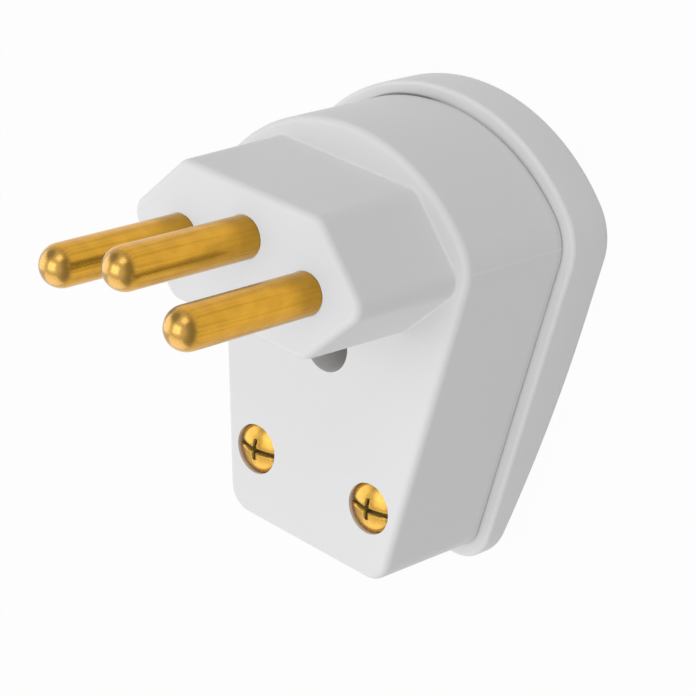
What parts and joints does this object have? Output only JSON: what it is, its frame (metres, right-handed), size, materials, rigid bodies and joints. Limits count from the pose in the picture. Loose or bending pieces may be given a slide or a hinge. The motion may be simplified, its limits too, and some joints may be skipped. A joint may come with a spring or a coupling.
{
  "type": "angled plug",
  "caption": "Right-angle rewireable plug in a white moulded housing, with round brass pins on a raised hexagonal head and brass screws beside the cord's end.",
  "frame": {"origin": "on the flat of the back, midway between the line and neutral pins", "axes": "+Z the way the pins point, +Y to the rounded crown past the earth pin, -Y to the cord's end, +X from the line pin to the neutral pin"},
  "size_m": [0.0406, 0.0542, 0.0553],
  "materials": {
    "housing": "fine satin moulding",
    "pin_brass": "polished, turned",
    "screw_brass": "bright plated",
    "insert_brass": "turned, knurled",
    "terminal_steel": "zinc plated",
    "clamp_plastic": "moulded"
  },
  "bodies": {
    "root": {"front_body": "housing", "back_cover": "housing", "line_pin": "pin_brass", "neutral_pin": "pin_brass", "earth_pin": "pin_brass", "line_terminal_screw": "terminal_steel", "neutral_terminal_screw": "terminal_steel", "earth_terminal_screw": "terminal_steel", "cord_clamp": "clamp_plastic", "clamp_screw_left": "terminal_steel", "clamp_screw_right": "terminal_steel", "cover_screw_left": "screw_brass", "cover_screw_right": "screw_brass", "cover_screw_centre": "screw_brass", "cover_insert_left": "insert_brass", "cover_insert_right": "insert_brass", "cover_insert_centre": "insert_brass"}
  },
  "joints": []
}
